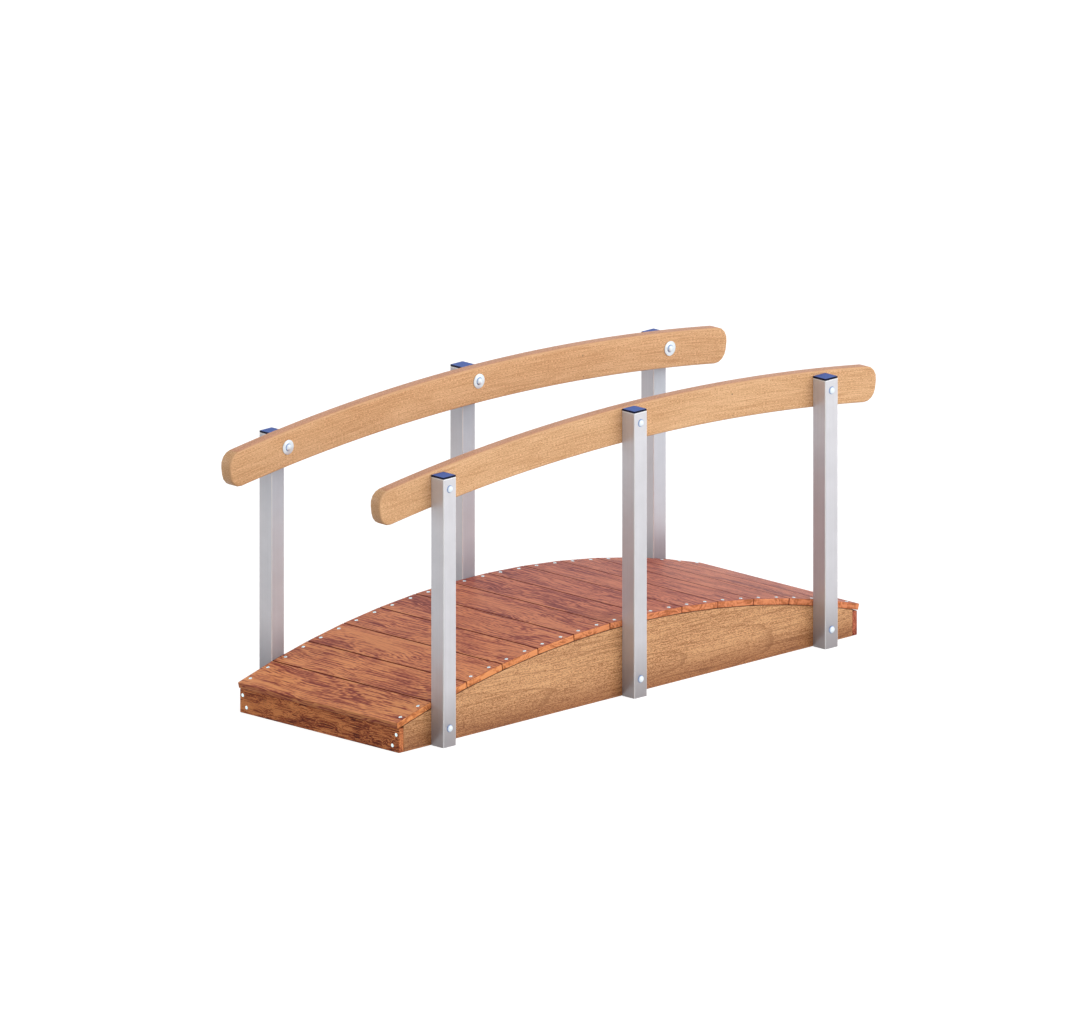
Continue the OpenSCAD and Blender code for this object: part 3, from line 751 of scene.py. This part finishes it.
for holds in ["rail", "beam"]:
    timber = "_handrail" if holds == "rail" else "_side_beam"
    heads, inner, outward = [], [], []
    for side in sides:
        sign = -1 if side == "front" else 1
        low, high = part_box(side + timber)
        inner_y = high.y if side == "front" else low.y
        for station in stations:
            low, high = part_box("%s_%s_post" % (side, station))
            x = (low.x + high.x) / 2
            z = high.z - RAIL_BOLT_DROP if holds == "rail" else BEAM_BOLT_H
            heads.append([x, low.y if side == "front" else high.y, z])
            inner.append([x, inner_y, z])
            outward.append([0, sign, 0])
    heads, inner, outward = np.array(heads), np.array(inner), np.array(outward)
    make_piece(holds + "_bolt_heads", *set_out(dome, heads, outward), bolt_zinc, "zinc_fastener",
        [holds + "_bolts"], edge=np.tile(dome_groove_shade, len(heads)))
    make_piece(holds + "_wide_washers", *set_out(washer, inner, -outward), bolt_zinc, "zinc_fastener",
        [holds + "_washers"])
    make_piece(holds + "_dome_nuts", *set_out(dome, inner - outward * WASHER_T, -outward), bolt_zinc,
        "zinc_fastener", [holds + "_nuts"], edge=np.tile(dome_groove_shade, len(heads)))

# Floor, light and camera
# A plain white floor under a white sky that shines most from the front, with a broad lamp there and a
# stronger one behind. The camera looks from the front left, 15 degrees down, with no perspective.

FLOOR_HALF = 40.0
PIXELS_WIDE = 1080
PIXELS_HIGH = 1026
PIXELS_PER_METRE = 360.0
ORIGIN_PIXEL = (548.55, 673.5)
CAMERA_TURN = math.radians(-45)
CAMERA_DOWN = math.radians(15)
CAMERA_AWAY = 8.0
LIGHT_FROM = (0.30, -0.954, 0.0)
LIGHT_AHEAD = 2.3
LIGHT_AROUND = 0.38
FLOOR_GREY = 0.38
FLOOR_GLOW = 0.86
LAMPS = [("key_lamp", (3.4, -7.2, 3.3), 90), ("fill_lamp", (-5.2, 6.4, 2.6), 140)]
LAMP_SIZE = 5.0
LAMP_AIM_H = 0.4


def seen_directly(tree):
    """1 where a ray comes from the camera, a mirror or a clear body, and 0 where it carries light."""
    path = add(tree, "LightPath")
    mirrored = add(tree, "Math", {0: path.outputs["Is Camera Ray"], 1: path.outputs["Is Glossy Ray"]},
        operation="ADD", use_clamp=True)
    return add(tree, "Math", {0: mirrored.outputs[0], 1: path.outputs["Is Transmission Ray"]},
        operation="ADD", use_clamp=True).outputs[0]


world = bpy.data.worlds.new("white_studio")
world.use_nodes = True
tree = world.node_tree
tree.nodes.clear()
direction = add(tree, "TexCoord").outputs["Generated"]
toward = add(tree, "VectorMath", {0: direction, 1: LIGHT_FROM}, operation="DOT_PRODUCT").outputs["Value"]
ahead = add(tree, "Math", {0: toward, 1: 0.0}, operation="MAXIMUM").outputs[0]
lobe = add(tree, "Math", {0: ahead, 1: 2.0}, operation="POWER").outputs[0]
light = add(tree, "Math", {0: lobe, 1: LIGHT_AHEAD, 2: LIGHT_AROUND}, operation="MULTIPLY_ADD").outputs[0]
level = add(tree, "Mix", {0: seen_directly(tree), 2: light, 3: 1.0}).outputs[0]
background = add(tree, "Background", {"Color": (1, 1, 1, 1), "Strength": level})
add(tree, "OutputWorld", {"Surface": background.outputs[0]})
bpy.context.scene.world = world

floor_white = bpy.data.materials.new("white_floor")
floor_white.use_nodes = True
tree = floor_white.node_tree
tree.nodes.clear()
# Seen directly, a glow brings the grey floor to white, and the object's shadow stays in its matt part
matt = add(tree, "BsdfDiffuse", {"Color": (FLOOR_GREY, FLOOR_GREY, FLOOR_GREY, 1)})
glow = add(tree, "Emission", {"Color": (1, 1, 1, 1), "Strength": FLOOR_GLOW})
lit = add(tree, "AddShader", {0: matt.outputs[0], 1: glow.outputs[0]})
seen = add(tree, "MixShader", {0: seen_directly(tree), 1: matt.outputs[0], 2: lit.outputs[0]})
add(tree, "OutputMaterial", {"Surface": seen.outputs[0]})
corners = FLOOR_HALF * np.array([[-1, -1, 0], [1, -1, 0], [1, 1, 0], [-1, 1, 0]])
floor_mesh = bpy.data.meshes.new("floor")
floor_mesh.from_pydata(corners.tolist(), [], [[0, 1, 2, 3]])
floor_mesh.materials.append(floor_white)
floor = bpy.data.objects.new("floor", floor_mesh)
bpy.context.scene.collection.objects.link(floor)

for name, place, watts in LAMPS:
    lamp = bpy.data.lights.new(name, "AREA")
    lamp.shape, lamp.size, lamp.energy = "DISK", LAMP_SIZE, watts
    holder = bpy.data.objects.new(name, lamp)
    holder.location = place
    aim = -np.array([*place[:2], place[2] - LAMP_AIM_H])
    holder.rotation_euler = (
        math.atan2(math.hypot(*aim[:2]), -aim[2]), 0, math.atan2(aim[1], aim[0]) - math.pi / 2)
    bpy.context.scene.collection.objects.link(holder)

right = np.array([math.cos(CAMERA_TURN), math.sin(CAMERA_TURN), 0])
forward = np.array([-math.sin(CAMERA_TURN) * math.cos(CAMERA_DOWN),
    math.cos(CAMERA_TURN) * math.cos(CAMERA_DOWN), -math.sin(CAMERA_DOWN)])
up = np.cross(right, forward)
aside, above = PIXELS_WIDE / 2 - ORIGIN_PIXEL[0], PIXELS_HIGH / 2 - ORIGIN_PIXEL[1]
middle = (right * aside - up * above) / PIXELS_PER_METRE
camera = bpy.data.cameras.new("camera")
camera.type = "ORTHO"
camera.ortho_scale = PIXELS_WIDE / PIXELS_PER_METRE
camera.clip_end = 100
viewpoint = bpy.data.objects.new("camera", camera)
viewpoint.location = middle - forward * CAMERA_AWAY
viewpoint.rotation_euler = (math.pi / 2 - CAMERA_DOWN, 0, CAMERA_TURN)
bpy.context.scene.collection.objects.link(viewpoint)
bpy.context.scene.camera = viewpoint
bpy.context.scene.view_settings.view_transform = "Standard"
